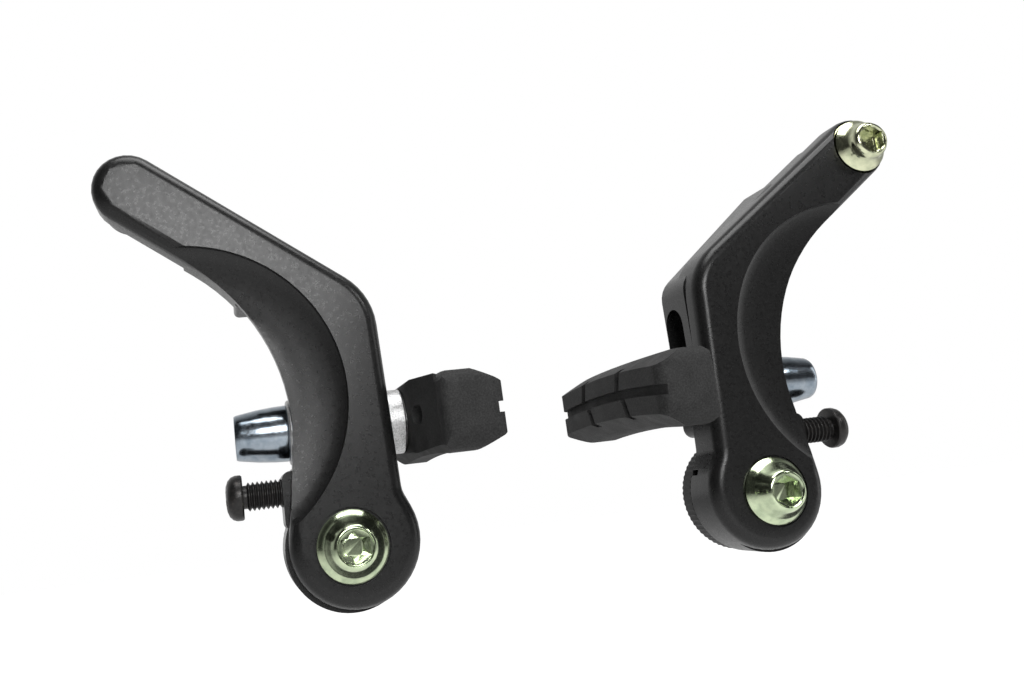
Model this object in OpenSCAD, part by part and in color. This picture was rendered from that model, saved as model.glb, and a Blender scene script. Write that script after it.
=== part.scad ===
// Cantilever brake for a bicycle: a matched pair of arms on two frame bosses.
// Frame: +Z up, pivot axes along Y, bolt heads toward -Y, rear mounting plane at Y = 0,
// origin midway between the two pivots. Units: mm.
// Every side piece is drawn once, for the right arm (u = outward = +X from its pivot),
// and mirrored for the left one. "Depth" is measured back from the arm's front face.

/* [Show] */

/* [Layout] */
// distance between the two pivot axes
pivot_span = 80; // [60:0.5:90]
// front face of the arm to the mounting plane
arm_depth = 16.6; // [14:0.1:20]

/* [Arm casting] */
// thickness of the upper arm
plate_depth = 7.0; // [5.5:0.1:7.4]
// thickness of its root, up to the step
root_depth = 9.7; // [8.5:0.1:10.5]
// how far out that step lies
root_out = 24.8; // [20:0.1:26]
// width of the rounded front edge, seen from the front
bevel_width = 2.3; // [1:0.1:3]
// depth of the rounded front edge
bevel_depth = 2.5; // [1:0.1:3]
// radius of the round bosses behind the tip
tip_boss_r = 5.5; // [5:0.1:6]
// bore of the socket for the straddle cable's fixed end
socket_r = 3.1; // [3:0.05:3.5]
// radius of the boss around the pivot
boss_r = 11.5; // [10.5:0.1:13]
// how far the arm reaches out from its pivot
reach_out = 33.3; // [28:0.1:40]
// how far the arm reaches up from its pivot
reach_up = 66.7; // [60:0.1:75]
// half width of the upper arm
end_r = 6.35; // [6.2:0.05:7]
// radius of the knee, flush with the slotted ear
knee_r = 12; // [9:0.5:13]
// radius of the hollow on the outer edge
hollow_r = 36.4; // [34:0.1:39]
// radius of the crescent scooped from the front face
scallop_r = 28; // [24:0.5:30]
// depth of that crescent
scallop_depth = 2.8; // [0.5:0.1:2.8]
// rear face of the boss barrel
barrel_depth = 11.7; // [10:0.1:12]

/* [Pivot] */
// outer radius of the steel sleeve
sleeve_r = 5.0; // [4.8:0.05:5.5]
// bore of the sleeve, loose on an 8 mm frame boss
sleeve_bore_r = 4.2; // [4.15:0.01:4.3]
// running clearance of the arm on the sleeve
arm_clearance = 0.04; // [0.01:0.01:0.1]
// end float of the sleeve and the spring cover on the frame's boss
end_float = 0.2; // [0.1:0.05:0.4]
// radius of the M6 fixing bolt
bolt_r = 3.0; // [2.9:0.05:3.1]

/* [Pad post] */
// height of the pad post above the pivot at the bottom of the slot
post_height = 21.1; // [20:0.1:24]
// depth of the post axis behind the front face
post_depth = 11.4; // [11:0.1:11.6]
// travel of the post in the slot
post_travel = 12; // [8:0.5:13]
// width of the slot
slot_width = 7.1; // [6.8:0.1:7.6]
// radius of the M6 post
post_r = 3.0; // [2.9:0.05:3.05]
// inner face of the slotted ear, measured toward the rim
ear_in = 8.8; // [8:0.1:9.5]
// outer face of the slotted ear
ear_out = 4.4; // [4:0.1:5]
// radius of the shared ball surface of the toe-in washers
ball_r = 9.6; // [9.2:0.1:10.5]
// radius of the dome washers
dome_r = 5.2; // [4.8:0.05:5.6]
// radius of the cup washers
cup_r = 6.0; // [5.6:0.05:6.2]
// thickness of the whole washer stack at each side, to the post's flange or nut
stack = 4.1; // [3.8:0.1:4.6]

/* [Pad] */
// length of the brake pad
pad_length = 52; // [40:0.5:60]
// height of the brake pad
pad_height = 13.8; // [11:0.1:15]
// height of the worn-in braking face
face_height = 8.4; // [6:0.1:10]
// thickness of the pad without its hub
pad_thick = 10.9; // [8:0.1:13]
// radius to which the pad is curved
rim_r = 300; // [250:5:330]

/* [Springs and screws] */
// radius of the spring cover
cover_r = 11.1; // [10:0.1:11.4]
// number of ribs on the cover's rim
cover_ribs = 64; // [30:1:90]
// inner and outer radius of the groove that holds the return spring
spring_in = 6.3; // [5.9:0.1:6.6]
spring_out = 9.3; // [9:0.1:9.6]
// wire radius of the return spring
wire_r = 0.65; // [0.4:0.05:0.8]
// turns of the return spring
spring_turns = 4; // [2:1:5]
// height of the tension screw above the pivot
tension_height = 10.4; // [9:0.1:11]
// depth of the tension screw behind the front face
tension_depth = 6.6; // [6:0.1:7.5]
// radius of the M5 tension screw
tension_r = 2.5; // [2.3:0.05:2.6]
// pitch of its thread
tension_pitch = 0.8; // [0.5:0.1:1]

/* [Hidden] */
$fn = 64;

NODES = [
    "left_arm", "right_arm",
    "left_pivot_sleeve", "right_pivot_sleeve",
    "left_mounting_bolt", "right_mounting_bolt",
    "left_spring_cover", "right_spring_cover",
    "left_return_spring", "right_return_spring",
    "left_tension_screw", "right_tension_screw",
    "left_inner_dome_washer", "right_inner_dome_washer",
    "left_outer_dome_washer", "right_outer_dome_washer",
    "left_inner_cup_washer", "right_inner_cup_washer",
    "left_outer_cup_washer", "right_outer_cup_washer",
    "left_pad_nut", "right_pad_nut",
    "left_pad_post", "right_pad_post",
    "left_brake_pad", "right_brake_pad",
    "right_anchor_bolt", "right_anchor_washer"
];

// Derived sizes
post_y = post_depth - arm_depth;
tip = [reach_out, reach_up];
hollow_at = [44.5, 22];
ball_u = (ear_out - ear_in) / 2;
slot_half = slot_width / 2;
slot_top = post_height + post_travel + 1;
inner_floor = ball_u - ((ear_in + ear_out) / 2 + stack);
outer_floor = ball_u + (ear_in + ear_out) / 2 + stack;
pad_back = inner_floor - 2.5;
pad_face = pad_back - pad_thick;
anchor_seat = 1.9;
flange_seat = 0.5;
washer_room = 4.6;
rear = arm_depth - end_float;
cover_floor = rear - 1.1;
spring_front = barrel_depth - 5.2;
socket_floor = plate_depth + 1.2;
socket_back = socket_floor + 5;
anchor_back = plate_depth + 3.6;
ear_back = arm_depth - 0.5;

// Outlines as belts around circles
// Each circle is [u, v, r]; r > 0 turns left (round corner), r < 0 turns right (hollow).
function travel(a, b) =
    let (d = [b[0] - a[0], b[1] - a[1]])
    atan2(d[1], d[0]) - asin((b[2] - a[2]) / norm(d));
function wrap(x) = x - 360 * floor(x / 360);
function arc_step(r) = abs(r) > 20 ? 4 : abs(r) > 8 ? 8 : 13;
function belt(c, inset = 0) = [
    for (i = [0 : len(c) - 1])
        let (n = len(c), p = c[(i + n - 1) % n], q = c[(i + 1) % n],
             a0 = travel(p, c[i]), a1 = travel(c[i], q),
             turn = wrap(a1 - a0) - (c[i][2] > 0 ? 0 : 360),
             steps = max(1, ceil(abs(turn) / arc_step(c[i][2]))),
             s = c[i][2] - inset)
        for (k = [0 : steps])
            let (a = a0 + turn * k / steps)
            [c[i][0] + s * sin(a), c[i][1] - s * cos(a)]
];

// front plate of the arm: boss, outer hollow, tip, knee, fillet above the boss
arm_outline = [
    [-0.8, 0.8, boss_r],
    [hollow_at[0], hollow_at[1], -hollow_r],
    [tip[0], tip[1], end_r],
    [knee_r - ear_in, 37.9, knee_r],
    [-13.9, 9.4, -4]
];
// slotted ear and the block behind the knee
ear_outline = [
    [-ear_in + 2, 13.7, 2],
    [ear_out - 2, 13.7, 2],
    [ear_out + 1.5, 42.7, -1.5],
    [15.3, 45.2, 1],
    [15.0, 60.0, 1.3],
    [-ear_in + 5.5, 39.8, 5.5]
];
// web between the boss barrel and the ear
web_outline = [
    [-ear_in + 2, 7.6, 2],
    [0, 7.6, 2],
    [0, 14, 2],
    [-ear_in + 2, 14, 2]
];
// lug that takes the tension screw
lug_outline = [
    [-3, 2.5, 1.5],
    [9.2, 5.2, 1.6],
    [9.2, 12.4, 1.6],
    [-3, 12.4, 1.6]
];

// Small tools
// solid through rings [depth, inset] of one belt, front to back, cut flat at both ends
module ring_solid(c, rings) {
    last = rings[len(rings) - 1];
    all = concat([[rings[0][0] - 1, rings[0][1]]], rings, [[last[0] + 1, last[1]]]);
    m = len(all);
    loops = [for (r = all) belt(c, r[1])];
    n = len(loops[0]);
    pts = [for (k = [0 : m - 1]) for (p = loops[k]) [p[0], all[k][0] - arm_depth, p[1]]];
    intersection() {
        polyhedron(
            points = pts,
            faces = concat(
                [[for (i = [n - 1 : -1 : 0]) i]],
                [[for (i = [0 : n - 1]) (m - 1) * n + i]],
                [for (k = [0 : m - 2]) for (i = [0 : n - 1])
                    let (j = (i + 1) % n)
                    [k * n + i, k * n + j, (k + 1) * n + j, (k + 1) * n + i]]
            )
        );
        box([-60, rings[0][0], -60], [90, last[0], 120]);
    }
}
// cylinder along the depth, d0 to d1
module cyl_d(r, d0, d1, at = [0, 0]) {
    translate([at[0], d1 - arm_depth, at[1]]) rotate([90, 0, 0]) cylinder(h = d1 - d0, r = r);
}
// turned piece along the depth, points [radius, depth]
module rev_d(pts, at = [0, 0]) {
    translate([at[0], -arm_depth, at[1]]) rotate([-90, 0, 0]) rotate_extrude() polygon(pts);
}
// turned piece along u, points [radius, u]
module rev_u(pts, y, z) {
    translate([0, y, z]) rotate([0, 90, 0]) rotate_extrude() polygon(pts);
}
module cyl_u(r, u0, u1, y, z) {
    translate([u0, y, z]) rotate([0, 90, 0]) cylinder(h = u1 - u0, r = r);
}
module box(lo, hi) {
    translate([lo[0], lo[1] - arm_depth, lo[2]])
        cube([hi[0] - lo[0], hi[1] - lo[1], hi[2] - lo[2]]);
}
module hex_u(af, u0, u1, y, z) {
    translate([u0, y, z]) rotate([0, 90, 0]) cylinder(h = u1 - u0, r = af / sqrt(3), $fn = 6);
}
module hex_d(af, d0, d1, at = [0, 0], turn = 0) {
    translate([at[0], d1 - arm_depth, at[1]]) rotate([90, 0, 0]) rotate([0, 0, turn])
        cylinder(h = d1 - d0, r = af / sqrt(3), $fn = 6);
}
// places a right-hand piece on its side; s = 1 right, s = -1 left
module on_side(s) {
    translate([s * pivot_span / 2, 0, 0])
        if (s < 0) mirror([1, 0, 0]) children();
        else children();
}

// Arm casting
bevel_rings = [for (k = [0 : 4])
    let (a = 22.5 * k)
    [bevel_depth * (1 - cos(a)), bevel_width * (1 - sin(a))]];

module scallop() {
    d = scallop_depth;
    r = scallop_r;
    rev_d([
        [0, -1], [r + 0.3, -1], [r - 0.2, 0.25 * d], [r - 0.9, 0.42 * d],
        [r - 2.4, 0.58 * d], [r - 5, 0.78 * d], [r - 9, 0.98 * d], [0, 1.03 * d]
    ], [26, 27]);
}
module arm_body() {
    union() {
        difference() {
            ring_solid(arm_outline,
                concat(bevel_rings, [[root_depth - 0.6, 0], [root_depth, 0.6]]));
            scallop();
            // the upper arm is thinner than its root
            box([root_out, plate_depth, 40], [60, 30, 90]);
            // room behind the plate for the washers and the nut
            box([ear_out - 0.6, washer_room, 14.3], [40, 30, 44.7]);
            box([-20, washer_room, 14.7], [-ear_in + 0.4, 30, 46]);
        }
        cyl_d(boss_r - 0.2, 4, barrel_depth);
        ring_solid(lug_outline, [[3.6, 0], [barrel_depth - 0.7, 0], [barrel_depth, 0.7]]);
        ring_solid(web_outline, [[4.6, 0.9], [5.5, 0], [barrel_depth - 0.7, 0], [barrel_depth, 0.7]]);
        ring_solid(ear_outline, [[4.4, 0.9], [5.3, 0], [ear_back - 0.9, 0], [ear_back, 0.9]]);
    }
}
module arm_cuts() {
    // slot for the pad post
    for (v = [post_height, slot_top])
        cyl_u(slot_half, -20, ear_out + 10, post_y, v);
    box([-20, post_depth - slot_half, post_height],
        [ear_out + 10, post_depth + slot_half, slot_top]);
    // pivot bore, seat of the bolt flange and room for the spring
    cyl_d(sleeve_r + arm_clearance, -5, 30);
    cyl_d(6.65, -5, flange_seat + 0.05);
    rev_d([[spring_in, spring_front], [spring_out, spring_front], [spring_out, 20], [spring_in, 20]]);
    // window over the spring's end, in the side of the boss
    translate([0, spring_front + 1.4 - arm_depth, 0]) rotate([0, 31, 0])
        translate([-boss_r - 1, -1.1, -2.2]) cube([boss_r + 1 - 9.0, 2.2, 4.4]);
    // thread of the tension screw
    cyl_u(tension_r + 0.06, 2.8, 15, tension_depth - arm_depth, tension_height);
}
module arm_socket() {
    // boss for the straddle cable's fixed end, open to the back and toward the other arm
    difference() {
        union() {
            arm_body();
            cyl_d(tip_boss_r, 5, socket_back, tip);
        }
        arm_cuts();
        cyl_d(socket_r, socket_floor, socket_back + 1, tip);
        translate([tip[0], socket_floor - arm_depth, tip[1]]) rotate([0, -35, 0])
            translate([-12, 0, -1.0]) cube([12, 6, 2.0]);
    }
}
module arm_anchor() {
    difference() {
        union() {
            arm_body();
            cyl_d(tip_boss_r, 5, anchor_back, tip);
        }
        arm_cuts();
        // flat seat of the cable clamp, with its rim
        cyl_d(5.95, -5, anchor_seat, tip);
        cyl_d(bolt_r + 0.06, -5, 20, tip);
    }
}

// Pivot
module pivot_sleeve() {
    difference() {
        cyl_d(sleeve_r, flange_seat, rear);
        cyl_d(sleeve_bore_r, 0, arm_depth + 1);
    }
}
// flanged button head: radius of flange, height, socket rim radius
module flange_head(at, seat, flange_r, height, rim_r1) {
    difference() {
        rev_d([
            [0, seat], [flange_r, seat], [flange_r, seat - 0.8], [flange_r - 0.35, seat - 1.15],
            [flange_r - 1.0, seat - 1.75], [flange_r - 1.65, seat - 0.58 * height],
            [rim_r1 + 0.45, seat - 0.86 * height], [rim_r1 + 0.1, seat - 0.97 * height],
            [rim_r1 - 0.2, seat - height], [rim_r1 - 0.35, seat - height],
            [rim_r1 - 0.55, seat - height + 0.3], [0, seat - height + 0.3]
        ], at);
        hex_d(5, seat - height - 1, seat - height + 3.2, at, 30);
    }
}
module mounting_bolt() {
    union() {
        flange_head([0, 0], flange_seat, 6.25, 5.0, 3.5);
        cyl_d(bolt_r, 0.2, arm_depth + 1.4);
        rev_d([[0, arm_depth + 1.2], [bolt_r, arm_depth + 1.2], [bolt_r - 0.6, arm_depth + 2],
            [0, arm_depth + 2]]);
        // rounded floor of the socket
        cyl_d(1.75, -1.7, 0);
    }
}
module spring_cover() {
    back = rear;
    front = barrel_depth + 0.1;
    rim = [for (i = [0 : 2 * cover_ribs - 1])
        let (a = 180 * i / cover_ribs, r = cover_r - (i % 2) * 0.16)
        [r * cos(a), r * sin(a)]];
    difference() {
        union() {
            translate([0, back - 0.6 - arm_depth, 0]) rotate([90, 0, 0])
                linear_extrude(height = back - 1.2 - front) polygon(rim);
            cyl_d(cover_r - 0.5, front, back);
        }
        cyl_d(sleeve_r + 0.01, 0, 30);
        rev_d([[spring_in, 5], [spring_out, 5], [spring_out, cover_floor], [spring_in, cover_floor]]);
    }
}
// coil of round wire on the pivot axis, standing on the cover's floor
module return_spring() {
    per_turn = 20;
    sides = 8;
    n = spring_turns * per_turn;
    d0 = cover_floor - wire_r;
    d1 = spring_front + 0.9;
    r = (spring_in + spring_out) / 2;
    pts = [for (i = [0 : n])
        let (a = 360 * i / per_turn, d = d0 + (d1 - d0) * max(0, i - 6) / (n - 6) - arm_depth)
        for (k = [0 : sides - 1])
            let (b = 360 * (k + 0.5) / sides, w = wire_r / cos(180 / sides))
            [(r + w * cos(b)) * cos(a), d + w * sin(b), (r + w * cos(b)) * sin(a)]];
    polyhedron(
        points = pts,
        faces = concat(
            [[for (k = [sides - 1 : -1 : 0]) k]],
            [[for (k = [0 : sides - 1]) n * sides + k]],
            [for (i = [0 : n - 1]) for (k = [0 : sides - 1])
                let (l = (k + 1) % sides)
                [i * sides + k, i * sides + l, (i + 1) * sides + l, (i + 1) * sides + k]]
        )
    );
}
module tension_screw() {
    p = tension_pitch;
    y = tension_depth - arm_depth;
    z = tension_height;
    tip_u = 5;
    turns = 14;
    root = tension_r - 0.46;
    difference() {
        rev_u(concat(
            [[0, tip_u], [root - 0.4, tip_u], [root, tip_u + 0.5]],
            [for (i = [0 : turns - 1]) let (u = tip_u + 0.8 + i * p) each [
                [root, u], [tension_r, u + 0.38 * p], [tension_r, u + 0.52 * p],
                [root, u + 0.9 * p]]],
            [[root, 17.6], [3.75, 17.6], [3.95, 17.9], [3.95, 18.8], [3.7, 19.5], [3.1, 20.1],
             [2.2, 20.45], [1.0, 20.6], [0, 20.6]]
        ), y, z);
        // cross recess
        for (a = [0, 90])
            translate([19.1, y, z]) rotate([a + 20, 0, 0])
                translate([0, -0.45, -2.3]) cube([3, 0.9, 4.6]);
        rev_u([[0, 18.4], [0.9, 19.3], [1.2, 21], [0, 21]], y, z);
    }
}

// Pad post and its washers
// points [radius, u] of a ball's surface between two radii
function ball_arc(r, lo, hi, n = 6) = [for (k = [0 : n])
    let (rho = lo + (hi - lo) * k / n) [rho, sqrt(r * r - rho * rho)]];

// flip = 1 on the outer side, -1 toward the rim; both sit on one ball centred in the ear
module on_ear(flip) {
    translate([ball_u, 0, 0]) if (flip < 0) mirror([1, 0, 0]) children(); else children();
}
module dome_washer(flip) {
    half = (ear_in + ear_out) / 2;
    on_ear(flip) rev_u(concat([[dome_r, half], [slot_half, half]],
        ball_arc(ball_r, slot_half, dome_r)), post_y, post_height);
}
module cup_washer(flip) {
    floor_u = (ear_in + ear_out) / 2 + stack;
    bore = post_r + 0.06;
    rim = cup_r - 0.05;
    seat = ball_arc(ball_r + 0.05, bore, rim);
    rim_u = seat[len(seat) - 1][1];
    on_ear(flip) rev_u(concat(seat,
        [[cup_r, rim_u + 0.1], [cup_r, floor_u - 0.3], [cup_r - 0.3, floor_u], [bore, floor_u]]),
        post_y, post_height);
}
module pad_nut() {
    u0 = outer_floor;
    difference() {
        rev_u([[post_r + 0.06, u0], [5.1, u0], [5.15, u0 + 0.4], [5.05, u0 + 2.6], [4.75, u0 + 5.6],
            [4.15, u0 + 9.2], [3.95, u0 + 9.6], [3.3, u0 + 9.6], [post_r + 0.06, u0 + 9.3]],
            post_y, post_height);
        hex_u(5, u0 + 6.4, u0 + 12, post_y, post_height);
        hex_u(5.6, u0 + 6.4, u0 + 9.3, post_y, post_height);
    }
}
module pad_post() {
    union() {
        cyl_u(post_r, inner_floor - 1.2, outer_floor + 5.6, post_y, post_height);
        rev_u([[0, outer_floor + 5.5], [post_r, outer_floor + 5.5], [post_r - 0.5, outer_floor + 6.1],
            [0, outer_floor + 6.1]], post_y, post_height);
        cyl_u(5.4, pad_back - 1, inner_floor, post_y, post_height);
        // steel plate moulded into the pad's back
        pad_slot(pad_back - 1.9, pad_back - 0.9, 12.5, 4.5);
    }
}

// Brake pad
// round-ended block between two planes across u, centred "along" the pad
module pad_slot(u0, u1, half_run, r, along = 0) {
    translate([u0, post_y + along, post_height]) rotate([90, 0, 90])
        linear_extrude(height = u1 - u0)
            polygon(belt([[-half_run, 0, r], [half_run, 0, r]]));
}
// swept about the wheel's axle, points [height above the post, u]
module rim_sweep(pts, deg) {
    translate([0, post_y, post_height - rim_r]) rotate([0, -90, 0]) rotate([0, 0, -deg / 2])
        rotate_extrude(angle = deg, $fn = 360)
            polygon([for (p = pts) [rim_r + p[0], -p[1]]]);
}
module brake_pad() {
    h = pad_height / 2;
    f = face_height / 2;
    l = pad_length / 2;
    b = pad_back;
    difference() {
        union() {
            difference() {
                pad_block(h, f, l, b);
                // room for the post's plate, two windows onto it and the post's flange
                pad_slot(b - 1.9, b - 0.89, 12.51, 4.51);
                for (s = [-1, 1]) pad_slot(b - 1, b + 1, 0.8, 1.65, s * 11.5);
                cyl_u(5.43, b - 1, b + 1, post_y, post_height);
            }
            difference() {
                pad_saddle(b - 0.5, inner_floor - 0.1);
                for (s = [-1, 1]) pad_slot(b - 1, b + 4, 0.8, 1.65, s * 11.5);
                cyl_u(5.43, b - 1, b + 4, post_y, post_height);
            }
        }
        // lengthwise groove and slanted cross grooves in the braking face
        rim_sweep([[-0.9, pad_face - 2], [-0.9, pad_face + 1.4], [0.9, pad_face + 1.4],
            [0.9, pad_face - 2]], 14);
        for (s = [-1, 1]) for (e = [-1, 1])
            translate([pad_face, post_y + s * 9 + e * 1.1, post_height + e * 3.6 - 0.14])
                rotate([e * 24, 0, 0]) cube([2.6, 1.9, 9], center = true);
    }
}
// back of the pad, rising in two ramps to the post's flange
module pad_saddle(lo, hi) {
    intersection() {
        translate([0, post_y, post_height - 10]) linear_extrude(height = 20)
            polygon([[lo, -21], [lo + 0.5, -21], [hi, -7], [hi, 7], [lo + 0.5, 21], [lo, 21]]);
        translate([0, post_y - 30, post_height]) rotate([-90, 0, 0]) linear_extrude(height = 60)
            polygon([[lo, -5.9], [hi - 0.4, -6.6], [hi, -6.2], [hi, 6.2], [hi - 0.4, 6.6], [lo, 5.9]]);
    }
}
// block of the pad: section swept about the axle, with rounded ends
module pad_block(h, f, l, b) {
    intersection() {
        rim_sweep([[-h + 1.6, b], [-h, b - 1.4], [-h, b - 5.6], [-h + 0.5, b - 6.6],
            [-f, pad_face], [f, pad_face], [h - 0.5, b - 6.6], [h, b - 5.6],
            [h, b - 1.4], [h - 1.6, b]], 14);
        // rounded ends, seen from above
        translate([0, post_y, post_height - 20]) linear_extrude(height = 40)
            polygon(belt([[pad_face + 2.6, -l + 2.6, 2.6], [b - 1.6, -l + 1.6, 1.6],
                [b - 1.6, l - 1.6, 1.6], [pad_face + 2.6, l - 2.6, 2.6]]));
        // rounded ends, seen from the side
        translate([b - 20, post_y, post_height]) rotate([90, 0, 90])
            linear_extrude(height = 40)
                polygon(belt([[-l + 4, -3.6, 4], [l - 4, -3.6, 4],
                    [l - 3, 3.2, 3], [-l + 3, 3.2, 3]]));
    }
}

// Cable clamp
module anchor_washer() {
    difference() {
        rev_d([[3.06, anchor_seat - 1.1], [5.3, anchor_seat - 1.1], [5.6, anchor_seat - 0.8],
            [5.6, anchor_seat], [3.06, anchor_seat]], tip);
        // shallow grooves that grip the cable, on the seat side
        for (t = [-1.6, 0, 1.6])
            translate([tip[0], anchor_seat - arm_depth, tip[1]]) rotate([0, 55, 0])
                translate([4.3 + t / 2, 0, t]) cube([2.4, 0.4, 0.5], center = true);
    }
}
module anchor_bolt() {
    union() {
        flange_head(tip, anchor_seat - 1.1, 5.5, 4.9, 3.25);
        cyl_d(bolt_r, anchor_seat - 1.4, anchor_back + 1.6, tip);
        rev_d([[0, anchor_back + 1.5], [bolt_r, anchor_back + 1.5], [bolt_r - 0.6, anchor_back + 2.2],
            [0, anchor_back + 2.2]], tip);
        cyl_d(1.75, anchor_seat - 3.1, anchor_seat - 1.2, tip);
    }
}

// One piece by name
module side_piece(what, s) {
    on_side(s) {
        if (what == "arm") color([0.05, 0.05, 0.055]) {
            if (s < 0) arm_socket(); else arm_anchor();
        }
        if (what == "pivot_sleeve") color([0.6, 0.6, 0.6]) pivot_sleeve();
        if (what == "mounting_bolt") color([0.75, 0.74, 0.55]) mounting_bolt();
        if (what == "spring_cover") color([0.04, 0.04, 0.04]) spring_cover();
        if (what == "return_spring") color([0.5, 0.5, 0.5]) return_spring();
        if (what == "tension_screw") color([0.03, 0.03, 0.03]) tension_screw();
        if (what == "inner_dome_washer") color([0.6, 0.65, 0.7]) dome_washer(-1);
        if (what == "outer_dome_washer") color([0.6, 0.65, 0.7]) dome_washer(1);
        if (what == "inner_cup_washer") color([0.72, 0.72, 0.72]) cup_washer(-1);
        if (what == "outer_cup_washer") color([0.72, 0.72, 0.72]) cup_washer(1);
        if (what == "pad_nut") color([0.6, 0.65, 0.7]) pad_nut();
        if (what == "pad_post") color([0.6, 0.6, 0.6]) pad_post();
        if (what == "brake_pad") color([0.05, 0.05, 0.05]) brake_pad();
    }
}
module piece(name) {
    for (what = ["arm", "pivot_sleeve", "mounting_bolt", "spring_cover", "return_spring",
            "tension_screw", "inner_dome_washer", "outer_dome_washer", "inner_cup_washer",
            "outer_cup_washer", "pad_nut", "pad_post", "brake_pad"]) {
        if (name == str("left_", what)) side_piece(what, -1);
        if (name == str("right_", what)) side_piece(what, 1);
    }
    if (name == "right_anchor_bolt") on_side(1) color([0.8, 0.72, 0.5]) anchor_bolt();
    if (name == "right_anchor_washer") on_side(1) color([0.8, 0.7, 0.4]) anchor_washer();
}

for (n = NODES) piece(n);
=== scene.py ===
"""Looks of the cantilever brake: finishes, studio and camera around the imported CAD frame.

Every visible piece is a CAD node. The script gives each one smooth shading with crisp edges,
fine edge rounding on the machined parts, and a procedural finish.
"""

import math

import bpy
from mathutils import Matrix, Vector


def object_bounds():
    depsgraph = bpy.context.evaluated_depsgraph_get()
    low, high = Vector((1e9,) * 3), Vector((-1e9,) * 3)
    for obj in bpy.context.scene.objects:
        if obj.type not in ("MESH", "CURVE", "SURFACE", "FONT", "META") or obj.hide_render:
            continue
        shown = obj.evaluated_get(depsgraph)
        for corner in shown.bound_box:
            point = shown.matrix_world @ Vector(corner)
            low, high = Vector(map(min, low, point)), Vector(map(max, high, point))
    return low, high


MM = 0.001

# The photograph's camera, fitted to the pivots, tips, pads and screw heads of both arms
IMAGE_WIDTH = 1024
CAMERA_PLACE = (-59.9, -186.2, 8.6)
CAMERA_AZIMUTH = 11.73
CAMERA_ELEVATION = 10.74
CAMERA_ROLL = 6.90
FOCAL_PIXELS = 969.6
SHIFT_PIXELS = (-100, -40)
SENSOR = 36.0

# Edges sharper than CREASE stay crisp; machined parts get a bevel EDGE_ROUNDING wide
CREASE = math.radians(32)
WELD = 0.002 * MM
EDGE_ROUNDING = 0.09 * MM

FLOOR_BELOW = 150 * MM
FLOOR_HALF = 3.0
# Light that the floor adds for the camera, so that its white doesn't fade with distance,
# and the smaller part of it that metal mirrors
FLOOR_GLOW = 0.80
FLOOR_GLOW_MIRRORED = FLOOR_GLOW / 6

# Strength of the world: on the object's surfaces, and as metal mirrors it, which goes
# from the first level to the second as the mirrored ray turns from the front to the back
WORLD_LIGHT = 0.30
MIRRORED_LEVELS = (0.04, 1.0)
MIRRORED_TURN = (-0.1, 0.95)

# Softboxes: name, place in metres, watts, size in metres
SOFTBOXES = (
    ("overhead", (0.05, -0.12, 0.65), 4.0, (0.60, 0.35)),
    ("behind_camera", (-0.06, -0.80, 0.28), 4.2, (0.34, 0.26)),
    ("front_right", (0.48, -0.50, 0.42), 0.9, (0.10, 0.12)),
    ("right_edge", (0.65, -0.15, 0.12), 0.6, (0.20, 0.50)),
)

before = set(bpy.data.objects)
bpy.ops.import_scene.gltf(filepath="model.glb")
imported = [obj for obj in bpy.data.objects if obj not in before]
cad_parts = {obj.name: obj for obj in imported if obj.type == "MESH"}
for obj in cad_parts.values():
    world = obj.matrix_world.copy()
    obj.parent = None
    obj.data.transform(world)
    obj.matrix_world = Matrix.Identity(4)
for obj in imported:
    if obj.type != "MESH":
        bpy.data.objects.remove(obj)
cad_low, cad_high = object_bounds()
middle = (cad_low + cad_high) / 2


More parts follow.
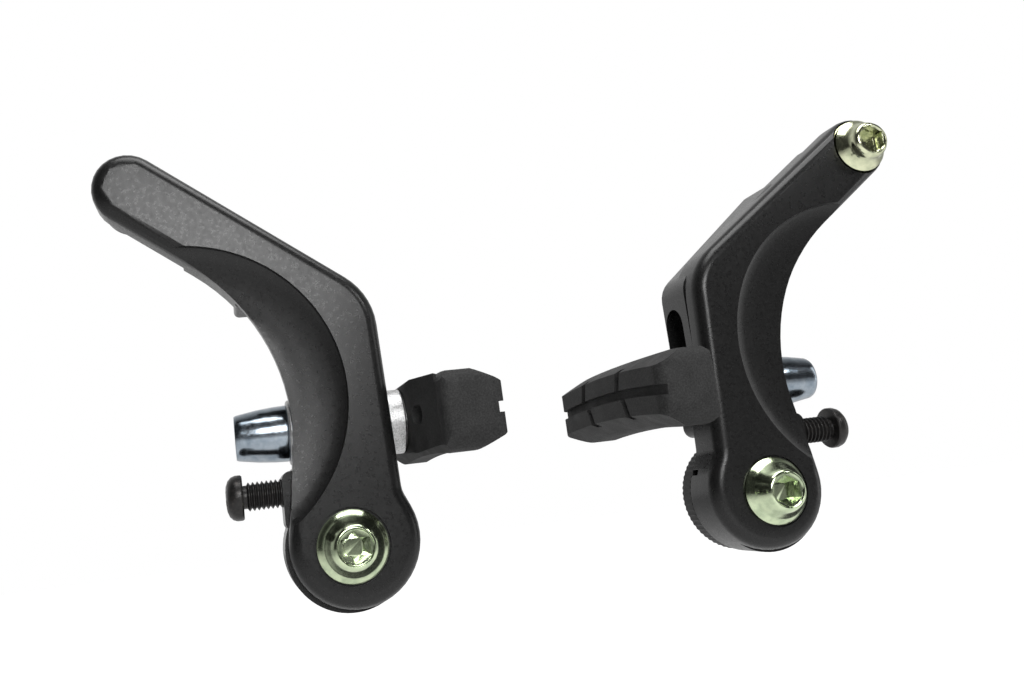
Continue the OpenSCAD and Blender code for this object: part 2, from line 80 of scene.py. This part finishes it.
# Node helpers
class Finish:
    """A procedural material on one Principled shader, in the frame's own coordinates."""

    def __init__(self, name, **sockets):
        self.material = bpy.data.materials.new(name)
        self.material.use_nodes = True
        self.tree = self.material.node_tree
        self.shader = self.tree.nodes["Principled BSDF"]
        for socket, value in sockets.items():
            self.shader.inputs[socket.replace("_", " ")].default_value = value
        self.place = self.tree.nodes.new("ShaderNodeTexCoord").outputs["Object"]

    def node(self, kind, **settings):
        made = self.tree.nodes.new(kind)
        for key, value in settings.items():
            setattr(made, key, value)
        return made

    def noise(self, grain, detail=2.0, rough=0.5, stretch=None):
        """Noise whose grain is about that many metres across."""
        made = self.node("ShaderNodeTexNoise")
        made.inputs["Scale"].default_value = 1 / grain
        made.inputs["Detail"].default_value = detail
        made.inputs["Roughness"].default_value = rough
        where = self.place
        if stretch:
            mapping = self.node("ShaderNodeMapping")
            mapping.inputs["Scale"].default_value = stretch
            self.tree.links.new(where, mapping.inputs["Vector"])
            where = mapping.outputs["Vector"]
        self.tree.links.new(where, made.inputs["Vector"])
        return made.outputs["Fac"]

    def cells(self, grain):
        """Random value per cell, for grit and blast marks."""
        made = self.node("ShaderNodeTexVoronoi")
        made.inputs["Scale"].default_value = 1 / grain
        self.tree.links.new(self.place, made.inputs["Vector"])
        return made.outputs["Color"], made.outputs["Distance"]

    def ramp(self, value, *stops):
        """Colour ramp through (position, colour) stops; a plain number is a grey."""
        made = self.node("ShaderNodeValToRGB")
        points = made.color_ramp.elements
        while len(points) < len(stops):
            points.new(0.5)
        for point, (position, colour) in zip(points, stops):
            point.position = position
            shade = colour if isinstance(colour, tuple) else (colour,) * 3
            point.color = (*shade, 1)
        self.tree.links.new(value, made.inputs["Fac"])
        return made.outputs["Color"]

    def mix(self, share, first, second):
        made = self.node("ShaderNodeMix", data_type="RGBA")
        made.inputs[0].default_value = share
        self.tree.links.new(first, made.inputs[6])
        self.tree.links.new(second, made.inputs[7])
        return made.outputs[2]

    def into(self, socket, value):
        self.tree.links.new(value, self.shader.inputs[socket])
        return self

    def bump(self, *layers):
        """Stacked bumps of (height, strength, depth in metres)."""
        normal = None
        for height, strength, depth in layers:
            made = self.node("ShaderNodeBump")
            made.inputs["Strength"].default_value = strength
            made.inputs["Distance"].default_value = depth
            self.tree.links.new(height, made.inputs["Height"])
            if normal:
                self.tree.links.new(normal, made.inputs["Normal"])
            normal = made.outputs["Normal"]
        return self.into("Normal", normal)


# Finishes
def arm_paint():
    """Black satin powder coat with a very fine pale grain."""
    f = Finish("arm_paint", Specular_IOR_Level=0.30)
    grain = f.noise(0.16 * MM, 3, 0.7)
    cloud = f.noise(9 * MM, 2)
    f.into("Base Color", f.mix(0.25,
        f.ramp(grain, (0.40, 0.004), (0.58, 0.007), (0.70, 0.032)),
        f.ramp(cloud, (0.3, 0.006), (0.7, 0.012))))
    f.into("Roughness", f.ramp(f.noise(0.6 * MM), (0.3, 0.26), (0.7, 0.34)))
    return f.bump((grain, 0.40, 0.02 * MM), (f.noise(1.6 * MM), 0.15, 0.02 * MM)).material


def plated(name, colour, tarnish, roughness):
    """Bright zinc plating: clouds of two shades and a fine grain."""
    f = Finish(name, Metallic=1.0)
    cloud = f.noise(2.4 * MM, 4, 0.6)
    f.into("Base Color", f.ramp(cloud, (0.32, tarnish), (0.58, colour)))
    f.into("Roughness", f.ramp(f.noise(0.5 * MM, 3),
        (0.3, roughness * 0.8), (0.7, roughness * 1.35)))
    return f.bump((f.noise(0.22 * MM, 3), 0.10, 0.01 * MM)).material


def blasted_alloy():
    """Sandblasted aluminium: small facets that sparkle one by one."""
    f = Finish("cup_alloy", Metallic=1.0)
    colour, edge = f.cells(0.22 * MM)
    f.into("Base Color", f.ramp(colour, (0.1, 0.30), (0.7, 0.58)))
    f.into("Roughness", f.ramp(colour, (0.2, 0.34), (0.9, 0.55)))
    return f.bump((edge, 0.55, 0.05 * MM), (f.noise(0.12 * MM), 0.3, 0.02 * MM)).material


def steel(name, light, roughness, along=None):
    """Turned or drawn steel with marks along one direction."""
    f = Finish(name, Metallic=1.0)
    marks = f.noise(0.9 * MM, 3, 0.6, along)
    f.into("Base Color", f.ramp(marks, (0.3, light * 0.8), (0.7, light)))
    f.into("Roughness", f.ramp(marks, (0.3, roughness), (0.7, roughness * 1.4)))
    return f.bump((marks, 0.12, 0.01 * MM)).material


def black_oxide():
    """Blackened screw: dark metal with brown hints on worn crests."""
    f = Finish("black_screw", Metallic=0.55)
    wear = f.noise(0.7 * MM, 4, 0.65)
    f.into("Base Color", f.ramp(wear, (0.35, 0.012), (0.62, (0.022, 0.020, 0.019)),
        (0.80, (0.060, 0.052, 0.045))))
    f.into("Roughness", f.ramp(f.noise(0.4 * MM), (0.3, 0.28), (0.7, 0.45)))
    return f.bump((wear, 0.15, 0.02 * MM)).material


def cover_plastic():
    """Moulded black nylon with a fine spark-eroded grain."""
    f = Finish("cover_plastic", Specular_IOR_Level=0.3)
    grain = f.noise(0.25 * MM, 2, 0.6)
    f.into("Base Color", f.ramp(f.noise(3 * MM), (0.3, 0.010), (0.7, 0.018)))
    f.into("Roughness", f.ramp(grain, (0.3, 0.48), (0.7, 0.62)))
    return f.bump((grain, 0.35, 0.02 * MM)).material


def pad_rubber():
    """Matt black brake rubber: dusty bloom over a grained moulding."""
    f = Finish("pad_rubber", Specular_IOR_Level=0.15)
    grain = f.noise(0.30 * MM, 4, 0.7)
    bloom = f.noise(4 * MM, 4, 0.6)
    f.into("Base Color", f.mix(0.5,
        f.ramp(bloom, (0.35, 0.012), (0.70, 0.034)),
        f.ramp(grain, (0.40, 0.010), (0.75, 0.055))))
    f.into("Roughness", f.ramp(bloom, (0.3, 0.55), (0.7, 0.75)))
    return f.bump((grain, 0.45, 0.05 * MM), (bloom, 0.25, 0.10 * MM)).material


FINISHES = {
    "arm": arm_paint(),
    "pivot_sleeve": steel("sleeve_steel", 0.62, 0.28, (1, 6, 1)),
    "mounting_bolt": plated("zinc_yellow", (0.54, 0.62, 0.42), (0.35, 0.42, 0.28), 0.15),
    "anchor_bolt": plated("zinc_straw", (0.60, 0.62, 0.43), (0.40, 0.43, 0.29), 0.16),
    "anchor_washer": plated("zinc_gold", (0.66, 0.64, 0.38), (0.42, 0.46, 0.26), 0.20),
    "pad_nut": plated("zinc_blue", (0.29, 0.33, 0.37), (0.17, 0.21, 0.25), 0.18),
    "dome_washer": plated("zinc_blue_dome", (0.50, 0.60, 0.70), (0.34, 0.42, 0.52), 0.20),
    "cup_washer": blasted_alloy(),
    "pad_post": steel("post_steel", 0.58, 0.25),
    "spring_cover": cover_plastic(),
    "return_spring": steel("spring_steel", 0.50, 0.30),
    "tension_screw": black_oxide(),
    "brake_pad": pad_rubber(),
}
MACHINED = ("mounting_bolt", "anchor_bolt", "anchor_washer", "pad_nut", "dome_washer",
            "cup_washer", "tension_screw")


# Shading of the CAD nodes
def crease_group():
    """Geometry nodes that shade everything smooth apart from edges sharper than CREASE."""
    group = bpy.data.node_groups.new("crease", "GeometryNodeTree")
    for side in ("INPUT", "OUTPUT"):
        group.interface.new_socket("Geometry", in_out=side, socket_type="NodeSocketGeometry")
    start = group.nodes.new("NodeGroupInput")
    end = group.nodes.new("NodeGroupOutput")
    faces = group.nodes.new("GeometryNodeSetShadeSmooth")
    edges = group.nodes.new("GeometryNodeSetShadeSmooth")
    edges.domain = "EDGE"
    angle = group.nodes.new("GeometryNodeInputMeshEdgeAngle")
    flat = group.nodes.new("FunctionNodeCompare")
    flat.operation = "LESS_THAN"
    flat.inputs["B"].default_value = CREASE
    link = group.links.new
    link(start.outputs["Geometry"], faces.inputs["Geometry"])
    link(faces.outputs["Geometry"], edges.inputs["Geometry"])
    link(angle.outputs["Unsigned Angle"], flat.inputs["A"])
    link(flat.outputs["Result"], edges.inputs["Shade Smooth"])
    link(edges.outputs["Geometry"], end.inputs["Geometry"])
    return group


def dress(node, finish, rounded, group):
    """Finish, fine edge rounding where asked for, and crisp smooth shading for a CAD node."""
    mesh = node.data
    if "custom_normal" in mesh.attributes:
        mesh.attributes.remove(mesh.attributes["custom_normal"])
    for i in range(len(node.material_slots)):
        node.material_slots[i].material = finish
    weld = node.modifiers.new("weld", "WELD")
    weld.merge_threshold = WELD
    if rounded:
        bevel = node.modifiers.new("edge_rounding", "BEVEL")
        bevel.width = EDGE_ROUNDING
        bevel.segments = 2
        bevel.limit_method = "ANGLE"
        bevel.angle_limit = CREASE
    crease = node.modifiers.new("crease", "NODES")
    crease.node_group = group
    normals = node.modifiers.new("normals", "WEIGHTED_NORMAL")
    normals.keep_sharp = True
    normals.weight = 70


shared_group = crease_group()
for name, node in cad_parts.items():
    kind = name.split("_", 1)[1].replace("inner_", "").replace("outer_", "")
    dress(node, FINISHES[kind], kind in MACHINED, shared_group)


# Studio
def pale_floor():
    """Wide white floor well below the brake, so that the soft shadow falls out of view."""
    mesh = bpy.data.meshes.new("floor")
    z = cad_low.z - FLOOR_BELOW
    mesh.from_pydata([(x * FLOOR_HALF, y * FLOOR_HALF, z) for x, y in
                      ((-1, -1), (1, -1), (1, 1), (-1, 1))], [], [(0, 1, 2, 3)])
    floor = bpy.data.objects.new("floor", mesh)
    bpy.context.scene.collection.objects.link(floor)
    f = Finish("floor_white", Roughness=0.9)
    f.into("Base Color", f.ramp(f.noise(0.4), (0.3, 0.86), (0.7, 0.88)))
    seen = f.node("ShaderNodeLightPath")
    glow = f.node("ShaderNodeMath", operation="MULTIPLY")
    glow.inputs[1].default_value = FLOOR_GLOW
    f.tree.links.new(seen.outputs["Is Camera Ray"], glow.inputs[0])
    both = f.node("ShaderNodeMath", operation="MULTIPLY_ADD")
    both.inputs[1].default_value = FLOOR_GLOW_MIRRORED
    f.tree.links.new(seen.outputs["Is Glossy Ray"], both.inputs[0])
    f.tree.links.new(glow.outputs[0], both.inputs[2])
    f.shader.inputs["Emission Color"].default_value = (1, 1, 1, 1)
    f.into("Emission Strength", both.outputs[0])
    mesh.materials.append(f.material)


def white_world():
    """White to the camera; to metal it is white behind and a dim studio in front."""
    world = bpy.data.worlds.new("studio")
    world.use_nodes = True
    bpy.context.scene.world = world
    tree = world.node_tree
    background = tree.nodes["Background"]
    background.inputs["Color"].default_value = (1, 1, 1, 1)
    path = tree.nodes.new("ShaderNodeLightPath")
    place = tree.nodes.new("ShaderNodeTexCoord")
    parts = tree.nodes.new("ShaderNodeSeparateXYZ")
    depth = tree.nodes.new("ShaderNodeMapRange")
    sockets = ("From Min", "From Max", "To Min", "To Max")
    for socket, value in zip(sockets, MIRRORED_TURN + MIRRORED_LEVELS):
        depth.inputs[socket].default_value = value
    tree.links.new(place.outputs["Generated"], parts.inputs[0])
    tree.links.new(parts.outputs["Y"], depth.inputs["Value"])

    def choose(test, yes, no):
        """yes where the ray is of that kind, otherwise no; each is a number or a socket"""
        made = tree.nodes.new("ShaderNodeMix")
        tree.links.new(path.outputs[test], made.inputs[0])
        for socket, value in ((3, yes), (2, no)):
            if isinstance(value, float):
                made.inputs[socket].default_value = value
            else:
                tree.links.new(value, made.inputs[socket])
        return made.outputs[0]

    glossy = choose("Is Glossy Ray", depth.outputs["Result"], WORLD_LIGHT)
    through = choose("Is Transmission Ray", 1.0, glossy)
    tree.links.new(choose("Is Camera Ray", 1.0, through), background.inputs["Strength"])


def softbox(name, place, power, size):
    """Rectangular lamp that faces the middle of the brake."""
    lamp = bpy.data.lights.new(name, "AREA")
    lamp.energy = power
    lamp.shape = "RECTANGLE"
    lamp.size, lamp.size_y = size
    thing = bpy.data.objects.new(name, lamp)
    bpy.context.scene.collection.objects.link(thing)
    thing.location = Vector(place)
    thing.rotation_mode = "QUATERNION"
    thing.rotation_quaternion = (middle - thing.location).to_track_quat("-Z", "Y")


def photo_camera():
    """The camera at the photograph's viewing angle."""
    data = bpy.data.cameras.new("camera")
    data.sensor_width = SENSOR
    data.lens = FOCAL_PIXELS / IMAGE_WIDTH * SENSOR
    data.shift_x = -SHIFT_PIXELS[0] / IMAGE_WIDTH
    data.shift_y = SHIFT_PIXELS[1] / IMAGE_WIDTH
    data.clip_start, data.clip_end = 0.01, 20
    azimuth, elevation = math.radians(CAMERA_AZIMUTH), math.radians(CAMERA_ELEVATION)
    ahead = Vector((math.sin(azimuth) * math.cos(elevation),
                    math.cos(azimuth) * math.cos(elevation), math.sin(elevation)))
    level = Vector((math.cos(azimuth), -math.sin(azimuth), 0))
    above = level.cross(ahead)
    roll = math.radians(CAMERA_ROLL)
    right = level * math.cos(roll) - above * math.sin(roll)
    up = above * math.cos(roll) + level * math.sin(roll)
    turn = Matrix((right, up, -ahead)).transposed().to_4x4()
    camera = bpy.data.objects.new("camera", data)
    bpy.context.scene.collection.objects.link(camera)
    camera.matrix_world = Matrix.Translation(Vector(CAMERA_PLACE) * MM) @ turn
    bpy.context.scene.camera = camera


pale_floor()
white_world()
for lamp_name, lamp_place, watts, lamp_size in SOFTBOXES:
    softbox(lamp_name, lamp_place, watts, lamp_size)
photo_camera()
bpy.context.scene.view_settings.view_transform = "Standard"
